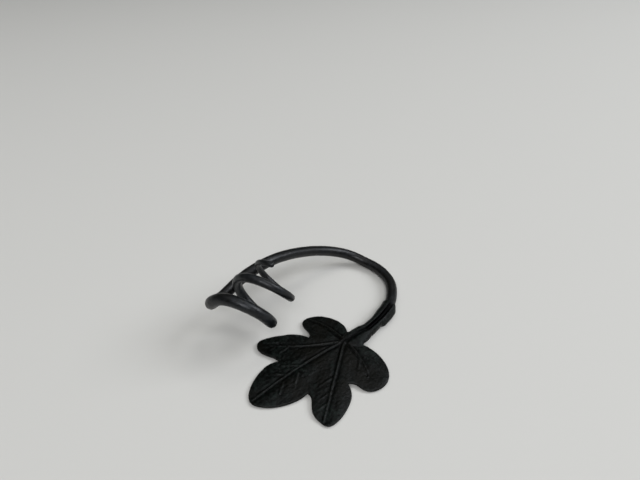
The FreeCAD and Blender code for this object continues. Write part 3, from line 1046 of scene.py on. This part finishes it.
    def stalk_fields(self, z: np.ndarray) -> tuple[np.ndarray, np.ndarray, np.ndarray]:
        """Fields of the stalk's outside, and of what is cut from it.

        Args:
            z: heights of the grid's layers.

        Returns:
            Fields of the solid stalk, of its bore, and of the seam and furrow on its top.
        """
        path, reach = self.stalk_path()
        gap, along, hand = self.grid.to_line(path[:, :2])
        middle = np.interp(along, run_along(path[:, :2]), path[:, 2])
        inner, outer, above, below = self.stalk_sizes(along, reach, middle)
        across = (gap * hand)[:, :, None]
        up = z - middle[:, :, None]
        start, step, end = self.lip
        distance = (along - reach)[:, :, None]
        left = self.socket_length - distance
        flare = smoothstep(np.minimum((distance - start) / step, left / end))
        skirt = smoothstep((self.lip_height - z) / self.lip_height + 0.5)
        half_width = outer[:, :, None] + self.lip_flare * flare * skirt
        half_width = np.where(across > 0.0, inner[:, :, None], half_width)
        half_height = np.where(up > 0.0, above[:, :, None], below[:, :, None])
        ratio = np.hypot(across / half_width, up / half_height)
        steep = np.hypot(across / half_width**2, up / half_height**2)
        solid = ratio * (ratio - 1.0) / np.maximum(steep, SMALLEST)
        solid = soft_max(solid, distance - self.socket_length, self.mouth_round)
        radius = self.bar.tang_radii(distance)
        bore = np.maximum(np.hypot(across, up) - (radius + self.clearance), -distance)
        wide, narrow = self.seam_widths
        grown = smoothstep(along / reach)[:, :, None]
        half = (narrow + (wide - narrow) * grown) / 2.0
        outside = radius + self.clearance + self.wall
        furrow = np.abs(across + outside * sin(radians(self.seam_angle))) - half
        deep = np.where(distance > 0.0, outside, self.furrow_depth)
        floor = above[:, :, None] - deep * grown
        return solid, bore, soft_max(furrow, floor - up, self.furrow_round)

    def build(self, finish: BlackenedIron) -> bpy.types.Object:
        """Makes the leaf as one closed skin round blade, ribs and rolled stalk.

        Args:
            finish: finish of the leaf.

        Returns:
            The leaf.
        """
        z = np.arange(*self.layers, self.cell)
        edge = self.grid.to_outline(self.outline())
        relief, ridge_highlight = self.relief(edge)
        under = self.lowest() - self.droop(self.grid.x, self.grid.y)
        top = under + self.thickness + relief + self.surface()
        middle, half = ((top + under) / 2.0)[:, :, None], ((top - under) / 2.0)[:, :, None]
        slab = np.abs(z - middle) - half
        out_plan, out_up = edge[:, :, None] + self.rim_round, slab + self.rim_round
        blade = np.minimum(np.maximum(out_plan, out_up), 0.0)
        blade += np.hypot(np.maximum(out_plan, 0.0), np.maximum(out_up, 0.0)) - self.rim_round
        stalk, bore, seam = self.stalk_fields(z)
        whole = soft_max(soft_min(blade, stalk, self.fillet), -seam, self.seam_round)
        whole = soft_max(whole, -bore, self.bore_round)
        whole = np.maximum(whole, -self.foot_gap - z)
        steps, faces = net_of_field(unpinched(whole))
        start = np.array([self.grid.xs[0], self.grid.ys[0], z[0]])
        places = self.neck.to_frame(start + steps * self.cell)
        column = tuple(np.clip(np.round(steps).astype(int), 0, np.array(whole.shape) - 1).T)
        # Painted light for each vertex: highlight and shade on the blade, then painted shade along
        # the stalk's seam and furrow
        on_blade = np.where(stalk[column] > self.relief_from_stalk, ridge_highlight[column[:2]], 0.0)
        seam_painted_shade = self.seam_shade * smoothstep(1.0 - seam[column] / self.seam_shade_reach)
        return mesh_object("leaf_iron", places, faces, finish.material(), on_blade - seam_painted_shade)


@dataclass(frozen=True)
class Lamp:
    """A soft square lamp: its place and side in millimetres, its power in watts, its colour."""

    name: str
    place: Triple
    size: float
    watts: float
    colour: str

    def build(self) -> bpy.types.Object:
        """Adds the lamp, turned to look at the stand."""
        light = bpy.data.lights.new(self.name, "AREA")
        light.size = self.size * METRES
        light.energy = self.watts
        light.color = linear(self.colour)[:3]
        made = placed(self.name, light)
        made.location = Vector(self.place) * METRES
        made.rotation_euler = (-made.location).to_track_quat("-Z", "Y").to_euler()
        return made


LAMPS = (
    Lamp("window", (3200.0, -2500.0, 3300.0), 2800.0, 166.0, "#f4f8ff"),
    Lamp("ceiling", (-1500.0, 900.0, 4600.0), 3400.0, 16.0, "#fffaf4"),
    Lamp("skylight", (2200.0, 500.0, 4100.0), 1700.0, 22.0, "#fbfbf8"),
    Lamp("near_wall", (-2500.0, -2500.0, 3500.0), 2200.0, 136.0, "#f8faff"),
)


@dataclass
class Studio:
    """Floor, soft light, and the camera at the photograph's angle."""

    camera_place: Triple = (-193.84, -201.68, 285.61)
    heading: float = 47.6
    pitch: float = -35.0
    lens: float = 27.0
    sensor: float = 36.0
    floor_size: float = 12000.0
    floor_colour: str = "#cccac4"
    floor_roughness: float = 0.8
    weave_mm: float = 3.0
    weave_depth_mm: float = 0.05
    weave_detail: float = 3.0
    sky_colour: str = "#e9eef5"
    wall_colour: str = "#44433a"
    backdrop_colour: str = "#c2c2c0"
    world_strength: float = 0.6
    sky_heights: Pair = (0.55, 1.0)
    lamps: tuple[Lamp, ...] = LAMPS

    def floor(self) -> bpy.types.Object:
        """Makes the plain pale floor that the stand rests on."""
        half = self.floor_size / 2.0 * METRES
        corners = [(-half, -half, 0.0), (half, -half, 0.0), (half, half, 0.0), (-half, half, 0.0)]
        # Painted table: pale and matt, with a faint weave that is drawn coarse enough to show
        made = bpy.data.materials.new("painted_table")
        tree = emptied_tree(made)
        place = add_node(tree, "ShaderNodeTexCoord").outputs["Object"]
        weave = add_node(tree, "ShaderNodeTexNoise", {
            "Vector": place, "Scale": per_metre(self.weave_mm), "Detail": self.weave_detail,
        }).outputs["Fac"]
        normal = add_node(
            tree, "ShaderNodeBump", {"Distance": self.weave_depth_mm * METRES, "Height": weave}
        ).outputs["Normal"]
        shader = add_node(tree, "ShaderNodeBsdfPrincipled", {
            "Base Color": linear(self.floor_colour), "Roughness": self.floor_roughness,
            "Normal": normal,
        })
        add_node(tree, "ShaderNodeOutputMaterial", {"Surface": shader.outputs["BSDF"]})
        plane = mesh_object("floor", np.array(corners), [(0, 1, 2, 3)], made)
        return plane

    def world(self) -> None:
        """Sets a room's soft light, pale above and dull at the walls, and a plain backdrop."""
        world = bpy.data.worlds.new("room_light")
        tree = emptied_tree(world)
        way = add_node(tree, "ShaderNodeTexCoord").outputs["Generated"]
        height = add_node(tree, "ShaderNodeSeparateXYZ", {"Vector": way}).outputs["Z"]
        low, high = self.sky_heights
        share = add_node(
            tree, "ShaderNodeMapRange", {"Value": height, "From Min": low, "From Max": high}
        ).outputs["Result"]
        colour = add_node(tree, "ShaderNodeMix", {
            "data_type": "RGBA", "Factor": share, MIX_FIRST: linear(self.wall_colour),
            MIX_SECOND: linear(self.sky_colour),
        }).outputs[MIX_RESULT]
        light = add_node(
            tree, "ShaderNodeBackground", {"Strength": self.world_strength, "Color": colour}
        )
        seen = add_node(tree, "ShaderNodeBackground", {"Color": linear(self.backdrop_colour)})
        seen_share = add_node(tree, "ShaderNodeLightPath").outputs["Is Camera Ray"]
        both = add_node(tree, "ShaderNodeMixShader", {
            "Fac": seen_share, 1: light.outputs["Background"], 2: seen.outputs["Background"],
        })
        add_node(tree, "ShaderNodeOutputWorld", {"Surface": both.outputs["Shader"]})
        bpy.context.scene.world = world

    def camera(self) -> bpy.types.Object:
        """Places the camera and makes it the scene's own."""
        data = bpy.data.cameras.new("camera")
        data.lens = self.lens
        data.sensor_width = self.sensor
        made = placed("camera", data)
        made.location = Vector(self.camera_place) * METRES
        made.rotation_euler = (radians(90.0 + self.pitch), 0.0, radians(self.heading - 90.0))
        bpy.context.scene.camera = made
        return made

    def build(self) -> None:
        """Makes the floor, the lamps, the world and the camera."""
        self.floor()
        for lamp in self.lamps:
            lamp.build()
        self.world()
        self.camera()


def dress(piece: bpy.types.Object, node: str) -> None:
    """Lets a piece stand for its CAD node and reports it.

    Args:
        piece: the finished mesh.
        node: CAD node that it replaces.
    """
    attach(piece, BODY)
    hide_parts(node)
    LOG.info("%s: %d faces, stands for %s", piece.name, len(piece.data.polygons), node)


def main() -> None:
    """Builds the stand and the studio."""
    logging.basicConfig(level=logging.INFO, format="%(name)s: %(message)s")
    scene = bpy.context.scene
    scene.view_settings.view_transform = "Standard"
    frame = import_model()
    mount = next(m for m in frame["record"]["mounts"] if m["name"] == "neck")
    neck = Neck(tuple(value / METRES for value in mount["pos_m"]))
    bar = Bar(neck)
    bar_iron = BlackenedIron("blackened_forged_iron")
    dress(bar.build(bar_iron), "rod")
    leaf = Leaf(neck, bar)
    leaf_iron = BlackenedIron(
        "blackened_hammered_iron", body="#010201", warm="#060603", cool="#111714", ridge_highlight="#181916",
        sheen_level=0.14, roughness=(0.3, 0.5), cloud_mm=22.0, scale_mm=2.2,
        scale_depth_mm=0.7, grit_mm=0.9, grit_depth_mm=0.14,
    )
    dress(leaf.build(leaf_iron), "leaf")
    Studio().build()
    bpy.context.view_layer.update()


if __name__ == "__main__":
    main()
